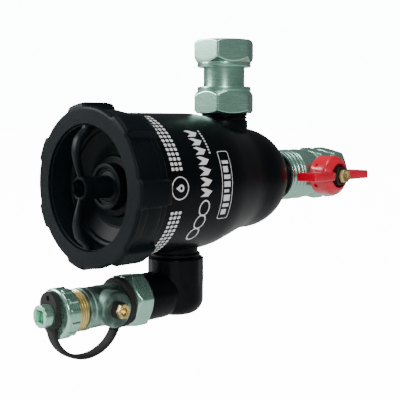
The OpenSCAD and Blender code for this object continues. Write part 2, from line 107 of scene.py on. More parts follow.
class FilterSizes(bpy.types.PropertyGroup):
    """Sizes that change how the pieces look."""

    lobe_radius: FloatProperty(
        name="Lobe Radius", description="Radius over the locking ring's grip lobes",
        default=0.0524, min=0.050, max=0.056, unit="LENGTH")
    valley_radius: FloatProperty(
        name="Valley Radius", description="Radius between the grip lobes",
        default=0.0484, min=0.0475, max=0.050, unit="LENGTH")
    lobes: IntProperty(
        name="Lobes", description="Number of grip lobes on the ring", default=7, min=5, max=10)
    cap_lugs: IntProperty(
        name="Cap Lugs", description="Number of lugs round the drain cap", default=12, min=8, max=16)


class FilterColours(bpy.types.PropertyGroup):
    """Colours of the finishes."""

    body: FloatVectorProperty(
        name="Body", description="Moulded body plastic",
        subtype="COLOR", default=(0.0022, 0.0034, 0.0046))
    ring: FloatVectorProperty(
        name="Ring", description="Locking ring and handle plastic",
        subtype="COLOR", default=(0.0036, 0.0066, 0.0084))
    nickel: FloatVectorProperty(
        name="Nickel", description="Satin plating of the unions",
        subtype="COLOR", default=(0.42, 0.74, 0.59))
    drain: FloatVectorProperty(
        name="Drain Metal", description="Plating of the drain valve",
        subtype="COLOR", default=(0.30, 0.47, 0.41))
    brass: FloatVectorProperty(
        name="Brass", description="Machined brass",
        subtype="COLOR", default=(0.83, 0.66, 0.27))
    lever: FloatVectorProperty(
        name="Lever", description="Lever coating",
        subtype="COLOR", default=(0.95, 0.0, 0.030))
    print_ink: FloatVectorProperty(
        name="Print", description="Printed marks",
        subtype="COLOR", default=(0.86, 0.92, 0.90))


def sizes():
    return bpy.context.scene.filter_sizes


def colours():
    return bpy.context.scene.filter_colours


# ---------------------------------------------------------------- placing

def placed(y, z, tilt, axis="X"):
    """Millimetres in a piece's own frame to metres in the object's frame."""
    return Matrix.Translation((0, y, z)) @ Matrix.Rotation(radians(tilt), 4, axis) @ Matrix.Scale(MM, 4)


def along(station):
    """Local +Z runs towards the outlet."""
    return placed(station * MM - REACH, 0, -90)


def facing(station):
    """Local +Z runs out of the cap, +Y stays up."""
    return placed(station * MM - REACH, 0, 90)


def on_drain(s):
    """Local +Z runs out along the drain."""
    return placed(DRAIN_Y - s * MM, DRAIN_Z, 90)


def on_inlet(z):
    return placed(-REACH, z * MM, 0)


def sideways(y, z):
    """Local +Z runs along +X, +Y stays +Y."""
    return placed(y, z, 90, "Y")


# ---------------------------------------------------------------- shapes

def flats(count, across, turn=0.0, power=110):
    """Radius of a regular outline with slightly rounded corners; turn is the angle of one flat."""
    def radius(angle):
        total = 0.0
        for k in range(count):
            total += max(0.0, cos(angle - radians(turn) - 2 * pi * k / count)) ** power
        return across / 2 / total ** (1 / power)
    return radius


def soft_min(*values, soft=0.16):
    low = min(values)
    return low - soft * log(sum(exp((low - v) / soft) for v in values))


def smooth(x):
    x = min(1.0, max(0.0, x))
    return x * x * (3 - 2 * x)


def lobe_share(angle, count, turn, half_top, half_foot):
    """1 on a lobe's top, 0 between lobes."""
    pitch = 2 * pi / count
    away = abs((angle - radians(turn) + pitch / 2) % pitch - pitch / 2)
    return smooth((radians(half_foot) - away) / radians(half_foot - half_top))


def rounded(points, radius, steps=3):
    """A closed outline with its corners rounded. A third value in a point is its own rounding."""
    out = []
    count = len(points)
    for i, point in enumerate(points):
        own = point[2] if len(point) > 2 else radius
        here = Vector(point[:2])
        before = Vector(points[i - 1][:2]) - here
        after = Vector(points[(i + 1) % count][:2]) - here
        if own <= 0 or here.x < 1e-6:
            out.append((here.x, here.y))
            continue
        start = here + before.normalized() * min(own, before.length * 0.45)
        end = here + after.normalized() * min(own, after.length * 0.45)
        for k in range(steps + 1):
            t = k / steps
            p = start * (1 - t) ** 2 + here * 2 * t * (1 - t) + end * t * t
            out.append((p.x, p.y))
    return out


def steps_between(low, high, count):
    return [low + (high - low) * i / count for i in range(count + 1)]


def revolve(profile, around=112):
    """A closed profile of (radius, height) turned about Z.

    A third value in a row is a function of angle and height that limits the radius.
    """
    verts, faces, rings = [], [], []
    for row in profile:
        r, z = row[0], row[1]
        if r < 1e-6:
            rings.append([len(verts)])
            verts.append((0, 0, z))
            continue
        rings.append(list(range(len(verts), len(verts) + around)))
        for i in range(around):
            angle = 2 * pi * i / around
            size = min(r, row[2](angle, z)) if len(row) > 2 else r
            verts.append((size * cos(angle), size * sin(angle), z))
    for one, two in zip(rings, rings[1:] + rings[:1]):
        for i in range(around):
            j = (i + 1) % around
            corners = [one[i % len(one)], one[j % len(one)], two[j % len(two)], two[i % len(two)]]
            face = list(dict.fromkeys(corners))
            if len(face) > 2:
                faces.append(face)
    return verts, faces


def thread(low, high, crest, depth, pitch):
    """Rows of a helical thread for revolve()."""
    def radius(angle, z):
        phase = (z / pitch - angle / (2 * pi)) % 1
        fade = smooth((z - low) / pitch) * smooth((high - z) / pitch)
        return crest - depth + depth * smooth(1.5 - 3 * abs(phase - 0.5)) * fade
    return [(crest + 1, z, radius) for z in steps_between(low, high, round((high - low) / pitch * 9))]


def ribbon(path, width, thickness, side=(1, 0, 0), corner=4.0, around=20):
    """A flat band along a path.

    Width runs along side, and both sizes are functions of the share of the path.
    """
    side = Vector(side).normalized()
    verts, faces = [], []
    count = len(path)
    for i, point in enumerate(path):
        ahead = Vector(path[min(i + 1, count - 1)]) - Vector(path[max(i - 1, 0)])
        up = side.cross(ahead).normalized()
        share = i / (count - 1)
        for k in range(around):
            angle = 2 * pi * k / around
            c, s = cos(angle), sin(angle)
            stretch = (abs(c) ** corner + abs(s) ** corner) ** (-1 / corner)
            spot = Vector(point) + side * (c * stretch * width(share) / 2)
            verts.append(tuple(spot + up * (s * stretch * thickness(share) / 2)))
    for i in range(count - 1):
        for k in range(around):
            j = (k + 1) % around
            faces.append([i * around + k, i * around + j, (i + 1) * around + j, (i + 1) * around + k])
    faces.append(list(range(around)))
    faces.append([(count - 1) * around + k for k in range(around)][::-1])
    return verts, faces


def slab(loops, low, high):
    """A flat plate between two heights, from an outline and its holes."""
    verts, faces, starts = [], [], []
    for loop in loops:
        starts.append(len(verts))
        verts += [(x, y, low) for x, y in loop]
    flat_count = len(verts)
    verts += [(x, y, high) for x, y, _ in verts[:flat_count]]
    for tri in tessellate_polygon([[Vector((x, y, 0)) for x, y in loop] for loop in loops]):
        faces.append(list(tri))
        faces.append([i + flat_count for i in reversed(tri)])
    for start, loop in zip(starts, loops):
        for i in range(len(loop)):
            a, b = start + i, start + (i + 1) % len(loop)
            faces.append([a, b, b + flat_count, a + flat_count])
    return verts, faces


def circle_loop(x, y, radius, count=48, low=0.0, high=360.0):
    whole = high - low >= 360
    last = count if whole else count + 1
    angles = [radians(low + (high - low) * i / count) for i in range(last)]
    return [(x + radius * cos(angle), y + radius * sin(angle)) for angle in angles]


def rounded_block(low, high, rounding, segments=3):
    """A block with rounded edges, as vertices and faces."""
    bm = bmesh.new()
    bmesh.ops.create_cube(bm, size=1.0)
    for v in bm.verts:
        v.co = Vector(((low[i] + high[i]) / 2 + v.co[i] * (high[i] - low[i]) for i in range(3)))
    bmesh.ops.bevel(bm, geom=list(bm.edges), offset=rounding, segments=segments,
                    profile=0.5, affect="EDGES")
    bm.verts.index_update()
    shell = ([tuple(v.co) for v in bm.verts], [[v.index for v in f.verts] for f in bm.faces])
    bm.free()
    return shell


def as_mesh(name, shells):
    mesh = bpy.data.meshes.new(name)
    bm = bmesh.new()
    for (verts, faces), place in shells:
        made = [bm.verts.new(place @ Vector(v)) for v in verts]
        for face in faces:
            bm.faces.new([made[i] for i in face])
    bmesh.ops.recalc_face_normals(bm, faces=bm.faces)
    for face in bm.faces:
        face.smooth = True
    bm.to_mesh(mesh)
    bm.free()
    return mesh


def piece(name, shells, body, finish, replaced=(), sharp=50):
    """Makes one object from closed shells, gives it its finish and fixes it to its body."""
    obj = bpy.data.objects.new(name, as_mesh(name, shells))
    bpy.context.scene.collection.objects.link(obj)
    obj.data.set_sharp_from_angle(angle=radians(sharp))
    obj.data.materials.append(finish)
    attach(obj, body)
    if replaced:
        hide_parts(*replaced)
    return obj


def cut_away(obj, shells):
    """Cuts closed shells out of a mesh for good."""
    tool = bpy.data.objects.new("cutter", as_mesh("cutter", shells))
    bpy.context.scene.collection.objects.link(tool)
    modifier = obj.modifiers.new("cut", "BOOLEAN")
    modifier.operation = "DIFFERENCE"
    modifier.solver = "EXACT"
    modifier.use_self = True
    modifier.object = tool
    evaluated = obj.evaluated_get(bpy.context.evaluated_depsgraph_get())
    result = bpy.data.meshes.new_from_object(evaluated)
    obj.modifiers.clear()
    obj.data = result
    bpy.data.objects.remove(tool)
    result.set_sharp_from_angle(angle=radians(40))


# ---------------------------------------------------------------- finishes

def group(name, inputs, outputs):
    """An empty shader node group with its sockets, its nodes and its two ends."""
    tree = bpy.data.node_groups.new(name, "ShaderNodeTree")
    for label, kind, value in inputs:
        tree.interface.new_socket(label, in_out="INPUT", socket_type=kind).default_value = value
    for label, kind in outputs:
        tree.interface.new_socket(label, in_out="OUTPUT", socket_type=kind)
    return tree, tree.nodes.new("NodeGroupInput"), tree.nodes.new("NodeGroupOutput")


def math_node(tree, operation, one, two):
    node = tree.nodes.new("ShaderNodeMath")
    node.operation = operation
    for index, value in enumerate((one, two)):
        if isinstance(value, (int, float)):
            node.inputs[index].default_value = value
        else:
            tree.links.new(value, node.inputs[index])
    return node.outputs[0]


def ramp(tree, value, low, high):
    node = tree.nodes.new("ShaderNodeMapRange")
    node.interpolation_type = "SMOOTHSTEP"
    node.inputs["From Min"].default_value = low
    node.inputs["From Max"].default_value = high
    tree.links.new(value, node.inputs["Value"])
    return node.outputs["Result"]


def noise(tree, vector, scale, detail):
    node = tree.nodes.new("ShaderNodeTexNoise")
    node.inputs["Detail"].default_value = detail
    tree.links.new(vector, node.inputs["Vector"])
    if isinstance(scale, (int, float)):
        node.inputs["Scale"].default_value = scale
    else:
        tree.links.new(scale, node.inputs["Scale"])
    return node.outputs["Fac"]


def moulded_grain():
    """Fine spark-eroded grain with slow patches, as on moulded plastic and rubber."""
    if "Moulded Grain" in bpy.data.node_groups:
        return bpy.data.node_groups["Moulded Grain"]
    tree, start, end = group(
        "Moulded Grain",
        [("Grain Scale", "NodeSocketFloat", 2200.0), ("Patch Scale", "NodeSocketFloat", 28.0)],
        [("Height", "NodeSocketFloat"), ("Patch", "NodeSocketFloat")])
    place = tree.nodes.new("ShaderNodeTexCoord").outputs["Object"]
    tree.links.new(noise(tree, place, start.outputs["Grain Scale"], 2.0), end.inputs["Height"])
    tree.links.new(noise(tree, place, start.outputs["Patch Scale"], 4.0), end.inputs["Patch"])
    return tree


def worn_edges():
    """Mask of outside edges, broken up so that the wear isn't even."""
    if "Worn Edges" in bpy.data.node_groups:
        return bpy.data.node_groups["Worn Edges"]
    tree, start, end = group(
        "Worn Edges",
        [("Edge", "NodeSocketFloat", 0.54), ("Break Up", "NodeSocketFloat", 160.0)],
        [("Mask", "NodeSocketFloat")])
    place = tree.nodes.new("ShaderNodeTexCoord").outputs["Object"]
    pointy = tree.nodes.new("ShaderNodeNewGeometry").outputs["Pointiness"]
    above = math_node(tree, "SUBTRACT", pointy, start.outputs["Edge"])
    edge = math_node(tree, "MULTIPLY", above, 14.0)
    broken = math_node(tree, "ADD", noise(tree, place, start.outputs["Break Up"], 3.0), 0.35)
    mask = math_node(tree, "MULTIPLY", edge, broken)
    clamp = tree.nodes.new("ShaderNodeClamp")
    tree.links.new(mask, clamp.inputs["Value"])
    tree.links.new(clamp.outputs["Result"], end.inputs["Mask"])
    return tree


def tool_marks():
    """Fine lines left by turning or brushing, stretched across one axis."""
    if "Tool Marks" in bpy.data.node_groups:
        return bpy.data.node_groups["Tool Marks"]
    tree, start, end = group(
        "Tool Marks",
        [("Stretch", "NodeSocketVector", (60.0, 60.0, 4000.0)), ("Stain Scale", "NodeSocketFloat", 45.0)],
        [("Lines", "NodeSocketFloat"), ("Stain", "NodeSocketFloat")])
    place = tree.nodes.new("ShaderNodeTexCoord").outputs["Object"]
    scaled = tree.nodes.new("ShaderNodeVectorMath")
    scaled.operation = "MULTIPLY"
    tree.links.new(place, scaled.inputs[0])
    tree.links.new(start.outputs["Stretch"], scaled.inputs[1])
    tree.links.new(noise(tree, scaled.outputs["Vector"], 1.0, 2.0), end.inputs["Lines"])
    tree.links.new(noise(tree, place, start.outputs["Stain Scale"], 3.0), end.inputs["Stain"])
    return tree


def blank(name, metallic=0.0, **sockets):
    """A material with one Principled shader and its constant sockets set."""
    material = bpy.data.materials.new(name)
    material.use_nodes = True
    shader = material.node_tree.nodes["Principled BSDF"]
    shader.inputs["Metallic"].default_value = metallic
    for label, value in sockets.items():
        shader.inputs[label.replace("_", " ")].default_value = value
    return material, material.node_tree, shader


def use(tree, source, **values):
    node = tree.nodes.new("ShaderNodeGroup")
    node.node_tree = source
    for label, value in values.items():
        node.inputs[label.replace("_", " ")].default_value = value
    return node


def between(tree, share, one, two):
    """A colour between two, by a share."""
    node = tree.nodes.new("ShaderNodeMix")
    node.data_type = "RGBA"
    tree.links.new(share, node.inputs["Factor"])
    for index, value in ((6, one), (7, two)):
        if isinstance(value, bpy.types.NodeSocket):
            tree.links.new(value, node.inputs[index])
        else:
            node.inputs[index].default_value = (*value, 1)
    return node.outputs[2]


def bumped(tree, height, shader, strength, distance):
    node = tree.nodes.new("ShaderNodeBump")
    node.inputs["Strength"].default_value = strength
    node.inputs["Distance"].default_value = distance
    tree.links.new(height, node.inputs["Height"])
    tree.links.new(node.outputs["Normal"], shader.inputs["Normal"])


def tint(colour, factor):
    return tuple(min(1.0, c * factor) for c in colour)


def moulded(name, colour, rough=(0.30, 0.42), strength=0.12, grain=2200.0, coat=0.0, shine=0.5):
    """Satin plastic: faint grain, slow sheen patches and slightly paler edges."""
    if name in bpy.data.materials:
        return bpy.data.materials[name]
    material, tree, shader = blank(
        name, Coat_Weight=coat, Coat_Roughness=0.12, Specular_IOR_Level=shine)
    surface = use(tree, moulded_grain(), Grain_Scale=grain)
    edges = use(tree, worn_edges())
    patches = ramp(tree, surface.outputs["Patch"], 0.35, 0.7)
    base = between(tree, patches, tint(colour, 0.85), tint(colour, 1.25))
    painted = between(tree, edges.outputs["Mask"], base, tint(colour, 3.2))
    tree.links.new(painted, shader.inputs["Base Color"])
    sheen = math_node(tree, "MULTIPLY", surface.outputs["Patch"], rough[1] - rough[0])
    tree.links.new(math_node(tree, "ADD", sheen, rough[0]), shader.inputs["Roughness"])
    bumped(tree, surface.outputs["Height"], shader, strength, 0.00012)
    return material


def plated(name, colour, stretch, rough=(0.26, 0.40), metallic=0.85, strength=0.06, dark=0.72):
    """Satin plated metal with fine tool lines, faint stains and bright edges."""
    if name in bpy.data.materials:
        return bpy.data.materials[name]
    material, tree, shader = blank(name, metallic)
    lines = use(tree, tool_marks(), Stretch=stretch)
    edges = use(tree, worn_edges(), Edge=0.53)
    stains = ramp(tree, lines.outputs["Stain"], 0.3, 0.75)
    base = between(tree, stains, tint(colour, dark + 0.2), tint(colour, 1.04))
    painted = between(tree, edges.outputs["Mask"], base, tint(colour, 1.25))
    tree.links.new(painted, shader.inputs["Base Color"])
    spread = math_node(tree, "MULTIPLY", lines.outputs["Lines"], rough[1] - rough[0])
    tree.links.new(math_node(tree, "ADD", spread, rough[0]), shader.inputs["Roughness"])
    bumped(tree, lines.outputs["Lines"], shader, strength, 0.00006)
    return material


LINES_ALONG = {"y": (80.0, 4200.0, 80.0), "z": (80.0, 80.0, 4200.0), "x": (4200.0, 80.0, 80.0)}


def body_finish():
    return moulded("body_moulding", colours().body, (0.24, 0.38), 0.07, shine=0.12)


def ring_finish():
    return moulded("ring_moulding", colours().ring, (0.36, 0.50), 0.10, 1900.0, shine=0.10)


def rubber_finish():
    return moulded("rubber", (0.0042, 0.0042, 0.0048), (0.50, 0.68), 0.30, 1300.0, shine=0.25)


def nickel_finish(axis):
    return plated("nickel_" + axis, colours().nickel, LINES_ALONG[axis], (0.18, 0.32))


def drain_finish(axis):
    return plated("drain_metal_" + axis, colours().drain, LINES_ALONG[axis], (0.24, 0.42), 0.88, 0.10, 0.6)


def brass_finish():
    return plated("brass", colours().brass, LINES_ALONG["y"], (0.18, 0.32), 1.0, 0.08, 0.75)


def steel_finish():
    return plated("bright_steel", (0.80, 0.82, 0.84), LINES_ALONG["y"], (0.10, 0.22), 1.0, 0.04, 0.9)


def white_finish():
    return moulded("white_plastic", (0.62, 0.63, 0.60), (0.35, 0.5), 0.1)


def fibre_finish():
    return moulded("pressed_fibre", (0.03, 0.09, 0.05), (0.6, 0.8), 0.5, 900.0)


def lever_finish():
    return moulded("lever_coating", colours().lever, (0.22, 0.34), 0.06, 1500.0, coat=0.5)


def black_nut_finish():
    return plated("black_nut", (0.018, 0.016, 0.014), LINES_ALONG["x"], (0.25, 0.4), 0.6, 0.1, 0.6)


def ink_finish():
    return moulded("print_ink", colours().print_ink, (0.45, 0.6), 0.15, 1600.0)


def knurled_finish():
    """The drain body's plating, roughened all over with fine pits."""
    if "knurled_metal" in bpy.data.materials:
        return bpy.data.materials["knurled_metal"]
    colour = colours().drain
    material, tree, shader = blank("knurled_metal", 0.85)
    place = tree.nodes.new("ShaderNodeTexCoord").outputs["Object"]
    pits = tree.nodes.new("ShaderNodeTexVoronoi")
    pits.inputs["Scale"].default_value = 620.0
    tree.links.new(place, pits.inputs["Vector"])
    stain = use(tree, tool_marks(), Stretch=LINES_ALONG["y"], Stain_Scale=90.0)
    worn = use(tree, worn_edges(), Edge=0.53)
    dark = between(tree, ramp(tree, stain.outputs["Stain"], 0.40, 0.62), tint(colour, 0.30), colour)
    painted = between(tree, worn.outputs["Mask"], dark, tint(colour, 1.3))
    tree.links.new(painted, shader.inputs["Base Color"])
    tree.links.new(ramp(tree, stain.outputs["Lines"], -0.6, 1.6), shader.inputs["Roughness"])
    bumped(tree, pits.outputs["Distance"], shader, 0.35, 0.0002)
    return material


# ---------------------------------------------------------------- body and print

BARREL_R = 46.0
TAIL_R = 36.0
DOME_Y = 14.0
PORT_END = 66.0
THREAD_R = 16.6


def dome_arc(radius, low_r, steps, inward=False):
    """Points of the tail's round end, from its equator to where the port starts."""
    last = atan2(sqrt(radius ** 2 - low_r ** 2), low_r)
    arc = [(radius * cos(last * i / steps), DOME_Y + radius * sin(last * i / steps))
           for i in range(steps + 1)]
    return arc[::-1] if inward else arc


class FILTER_OT_body(bpy.types.Operator):
    """Build the moulded body with its three threaded ports"""
    bl_idname = "filter.body"
    bl_label = "Body"

    def execute(self, context):
        wall = 4.0
        shoulder = [(BARREL_R, -96.5, 0.5), (BARREL_R, -32, 9), (TAIL_R + 0.1, 3, 7)]
        neck = [(42.0, -114.0, 0.4), (44.0, -114.0, 0.3), (44.0, -113.0, 0)]
        front = [(44.0, -101.4, 0), (44.4, -100.6, 0), (45.2, -100, 0), (45.2, -96.6, 0.1)]
        outer = rounded(neck, 0.3)[:-1] + thread(-113, -101.4, 45.2, 1.2, 3.0)
        curve = rounded([(0, -96.5)] + front + shoulder + [(TAIL_R, DOME_Y, 0), (0, DOME_Y)], 0.5, 8)
        outer += [p for p in curve if p[0] > 1][0:-1]
        outer += dome_arc(TAIL_R, THREAD_R + 1.6, 26)
        outer += rounded([(18.2, 45.5, 0), (18.2, 49.6, 0.5), (15.6, 49.8, 0)], 0.4)
        outer += thread(50, 65, THREAD_R, 1.1, 2.3)
        inner = [(15.4, PORT_END - 0.4), (14.8, PORT_END), (12.8, PORT_END), (12.5, PORT_END - 0.4)]
        inner += dome_arc(TAIL_R - wall, 12.5, 12, True)
        inner += [(TAIL_R - wall, 3), (BARREL_R - wall, -32)]
        inlet = rounded([(12.5, 30, 0), (THREAD_R, 30, 0), (THREAD_R, 41, 0.4), (15.5, 41.4, 0)], 0.3)
        inlet += thread(41.5, 57, THREAD_R, 1.1, 2.3) + [(15.3, 57.6), (14.8, 58), (12.7, 58), (12.5, 57.7)]
        below = placed(DRAIN_Y, 0, 180)
        drain = rounded([(9, 36, 0), (15, 36, 0), (15, 47.2, 0), (16.6, 47.6, 0.4),
                         (16.6, 49.6, 0.5), (12.4, 49.8, 0)], 0.4)
        drain += thread(50, 60, 13.2, 0.9, 1.8) + [(12.0, 60.8), (9, 60.8)]
        piece("filter_body_shell",
              [(revolve(outer + inner, 160), along(0)), (revolve(inlet, 112), on_inlet(INLET_LIFT)),
               (revolve(drain, 96), below)],
              "filter", body_finish(), ["filter_body", "body_tail"])
        return {"FINISHED"}


class BarrelPrint:
    """Flat marks laid on the barrel, each at a station and at an angle from +X in degrees."""

    lift = 0.07

    def __init__(self):
        self.shells = []

    def patch(self, loops, cell=2.2):
        """Outlines of (station, degrees) points become a thin curved patch."""
        verts, faces = slab(loops, 0.0, 0.05)
        bm = bmesh.new()
        made = [bm.verts.new(v) for v in verts]
        for face in faces:
            bm.faces.new([made[i] for i in face])
        span = max(p[1] for p in loops[0]) - min(p[1] for p in loops[0])
        low = min(p[1] for p in loops[0])
        for k in range(1, int(span / cell) + 1):
            bmesh.ops.bisect_plane(bm, geom=bm.verts[:] + bm.edges[:] + bm.faces[:],
                                   plane_co=(0, low + k * cell, 0), plane_no=(0, 1, 0))
        for v in bm.verts:
            r = BARREL_R + self.lift + v.co.z
            angle = radians(v.co.y)
            v.co = Vector((r * cos(angle), v.co.x, r * sin(angle)))
        bm.verts.index_update()
        shell = ([tuple(v.co) for v in bm.verts], [[v.index for v in f.verts] for f in bm.faces])
        self.shells.append((shell, placed(-REACH, 0, 0)))
        bm.free()

    def blob(self, station, angle, long, wide, steps=3):
        """A small square with rounded corners; wide is in degrees."""
        self.patch([rounded_box(station - long / 2, station + long / 2, angle - wide / 2,
                                angle + wide / 2, min(long, wide) * 0.28, steps)], 1.6)


def rounded_box(near, far, low, high, corner, steps):
    """A box of stations and degrees, shifted while its corners are rounded.

    rounded() leaves corners at or below zero as they are, and the stations are negative.
    """
    shift = 500
    box = [(near + shift, low), (far + shift, low), (far + shift, high), (near + shift, high)]
    return [(x - shift, y) for x, y in rounded(box, corner, steps)]


def degrees_of(length):
    """Degrees round the barrel that a length covers."""
    return length / BARREL_R * 180 / pi


class FILTER_OT_print(bpy.types.Operator):
    """Lay the printed grid, round badge, wave band and framed bar code on the barrel"""
    bl_idname = "filter.print"
    bl_label = "Printed Marks"

    def execute(self, context):
        marks = BarrelPrint()
        pitch = 3.95
        for station in (-91.3, -88.0, -84.6):
            for start, end in ((15.0, 72.0), (-74.0, -15.0)):
                for i in range(int((end - start) / pitch) + 1):
                    fade = 1.0 - 0.35 * smooth((abs(start + i * pitch) - 70) / 20)
                    marks.blob(station, start + i * pitch, 2.3 * fade, 2.55 * fade)
        self.badge(marks)
        self.waves(marks)
        self.framed_bars(marks)
        piece("printed_marks", marks.shells, "filter", ink_finish())
        return {"FINISHED"}

    def badge(self, marks):
        """A ring with a drop in it, where the grid stops."""
        station, angle, outer, line = -86.6, 0.4, 7.2, 0.75

        def squeezed(loop):
            return [(station + x, angle + degrees_of(y)) for x, y in loop]
        marks.patch([squeezed(circle_loop(0, 0, outer)), squeezed(circle_loop(0, 0, outer - line))])
        drop = circle_loop(0.9, 0, 2.3, 24, -125, 125) + [(-3.6, 0)]
        hole = circle_loop(0.9, 0, 1.1, 16)
        marks.patch([squeezed(drop), squeezed(hole)])

    def waves(self, marks):
        """A bold running wave, then three open rings, down the barrel."""
        middle, low, high = -64.0, -8.0, 50.0
        count = 7
        step = (high - low) / count
        for i in range(count):
            foot = low + i * step
            marks.patch([[
                (middle - 5.2, foot + 0.5), (middle - 1.0, foot + step * 0.42),
                (middle - 5.2, foot + step - 1.6), (middle - 1.9, foot + step - 1.0),
                (middle + 5.0, foot + step * 0.55), (middle + 1.6, foot + 0.4)]])
        for i, angle in enumerate((-17.0, -29.0, -41.5)):
            wide, long, line = 4.4, 4.6, 0.8
            marks.patch([
                [(middle + x * (long - inset) / 5 - 0.5 * i, angle + degrees_of(y * (wide - inset) / 4))
                 for x, y in circle_loop(0, 0, 5, 36)] for inset in (0, line)])
        for i in range(9):
            marks.blob(middle + 7.6, 27.0 + i * 2.6, 1.5, 1.5)

    def framed_bars(self, marks):
        """A thin round-cornered frame with blocks of uneven length in it."""
        near, far, low, high, line = -50.0, -40.4, -28.0, 28.0, 0.45

        def frame_loop(inset):
            turn = degrees_of(inset)
            return rounded_box(near + inset, far - inset, low + turn, high - turn, 1.8, 4)
        marks.patch([frame_loop(0), frame_loop(line)])
        angle = low + 4.0
        widths = (4.6, 3.0, 5.2, 2.4, 4.4, 3.4, 5.0, 2.6)
        for i, wide in enumerate(widths):
            bottom, top = near + 2.0, far - (2.0 if i % 3 else 3.2)
            marks.patch([[(bottom, angle), (top, angle), (top, angle + wide), (bottom, angle + wide)]])
            angle += wide + 1.9


# ---------------------------------------------------------------- ring, cap dish and handle

RING_FRONT = -122.5


class FILTER_OT_locking_ring(bpy.types.Operator):
    """Build the lobed ring that holds the cap dish"""
    bl_idname = "filter.locking_ring"
    bl_label = "Locking Ring"

    def execute(self, context):
        size = sizes()
        drawn_valley, drawn_lobe = 48.6, 52.4
        drop, rise = size.valley_radius / MM - drawn_valley, size.lobe_radius / MM - drawn_lobe
        rows = [  # height, radius between the lobes, radius over them
            (0.0, 48.7, 50.3), (0.25, 49.3, 51.0), (0.7, 49.8, 51.6), (1.3, 50.1, 52.0),
            (2.2, 50.2, 52.25), (3.0, 50.1, 52.4), (3.3, 49.8, 52.4), (3.7, 48.9, 52.4),
            (4.1, 48.65, 52.4), (5.5, 48.6, 52.4), (8.7, 48.6, 52.4), (9.0, 48.5, 52.4),
            (9.3, 48.25, 52.4), (9.7, 48.2, 52.4), (14, 48.2, 52.4), (19.4, 48.2, 52.4),
            (19.8, 48.1, 52.35), (20.3, 47.5, 52.3), (21, 47.4, 52.2), (23, 47.3, 51.9),
            (24.3, 47.2, 51.3), (25.0, 47.0, 50.6), (25.35, 46.8, 49.8), (25.5, 46.5, 49.0)]
        table = {z: (valley + drop, lobe + rise) for z, valley, lobe in rows}

        def outline(angle, z):
            valley, lobe = table[z]
            share = lobe_share(-angle, size.lobes, turn=-1.5, half_top=7.6, half_foot=10.4)
            return valley + (lobe - valley) * share
        profile = rounded([(0, 0), (40.0, 0.0, 0.7), (47.5, 0.0, 0)], 0.5)[1:]
        profile += [(OPEN, z, outline) for z, _, _ in rows]
        profile += [(45.65, 25.5), (45.65, 4.05), (45.4, 4.0), (40.3, 4.0), (40.0, 3.7)]
        piece("locking_ring_moulding", [(revolve(profile, 420), along(RING_FRONT))],
              "locking_ring", ring_finish(), ["locking_ring"])
        return {"FINISHED"}


class FILTER_OT_cap_dish(bpy.types.Operator):
    """Build the dish behind the ring, with its channelled floor and tube boss"""
    bl_idname = "filter.cap_dish"
    bl_label = "Cap Dish"

    def execute(self, context):
        dish = rounded([
            (9.8, -8.5, 0.3), (41.75, -8.5, 0.6), (41.75, 0.2, 0), (39.3, 0.2, 0.2), (39.3, 3, 0.2),
            (41.75, 3, 0.2), (41.75, 10.5, 0), (44.8, 10.5, 0.2), (44.8, 13.4, 0.2), (39.6, 13.4, 0.2),
            (39.6, 17.5, 0.5),
            (38.0, 17.5, 0.5), (37.9, 1.8, 0.9), (35.6, 0.5, 0.5), (35.2, -0.9, 0.5), (26.6, -4.8, 0.6),
            (26.0, -5.5, 0.4), (19.7, -5.5, 0.5), (19.0, -3.2, 0.5), (14.9, -3.0, 0.4), (14.6, -2.4, 0.3),
            (14.5, 4.0, 0.6), (12.0, 4.0, 0.5), (12.0, 2.2, 0.3), (9.8, 2.2, 0.4)], 0.4, 4)
        piece("cap_dish_moulding", [(revolve(dish, 144), facing(RING_FRONT + 19))],
              "filter", ring_finish(), ["head"])
        return {"FINISHED"}


class FILTER_OT_pull_handle(bpy.types.Operator):
    """Build the bowed bar and eye that pull the magnets out"""
    bl_idname = "filter.pull_handle"
    bl_label = "Pull Handle"

    def execute(self, context):
        place = facing(RING_FRONT)
        shaft = rounded([(2.1, -27, 0.2), (7.0, -27, 0.5), (7.0, -19.4, 0), (9.6, -19, 0.4), (9.6, -17, 0.4),
                         (7.0, -16.8, 0.4), (7.0, -0.6, 0.3), (7.6, 0.2, 0.4), (7.6, 5.5, 0.9)], 0.3, 4)
        socket = flats(6, 11.0, 0, 40)
        hole = [(OPEN, z, lambda angle, z: socket(angle)) for z in (5.0, 4.0, -3.2)]
        mouth = [(6.4, 5.5), (6.1, 5.35)]
        bottom = [(5.0, -3.5), (2.1, -3.7)]
        eye = (revolve(shaft + mouth + hole + bottom, 96), place)

        def height(t):
            """How far the bar stands proud of the ring's face, from the eye at 0 to its end at 1."""
            return 3.0 + 3.6 * sin(pi * min(1, t * 1.12) ** 1.15) - 5.0 * smooth((t - 0.72) / 0.28)

        def width(t):
            return 3.0 + 3.9 * smooth((t - 0.12) / 0.5) - 1.2 * smooth((t - 0.8) / 0.2)

        def thickness(t):
            return 4.4 + 1.2 * smooth((t - 0.7) / 0.3)
        arms = []
        for side in (-1, 1):
            path = [(0, side * (6.0 + 31.6 * t), height(t)) for t in steps_between(0, 1, 30)]
            arms.append((ribbon(path, width, thickness, corner=3.2, around=28), place))
        piece("pull_handle_moulding", [eye] + arms, "magnet", ring_finish(),
              ["pull_handle"], 60)
        return {"FINISHED"}


# ---------------------------------------------------------------- unions and outlet valve

UNION_AF = 38.0
NUT_H = 18.6


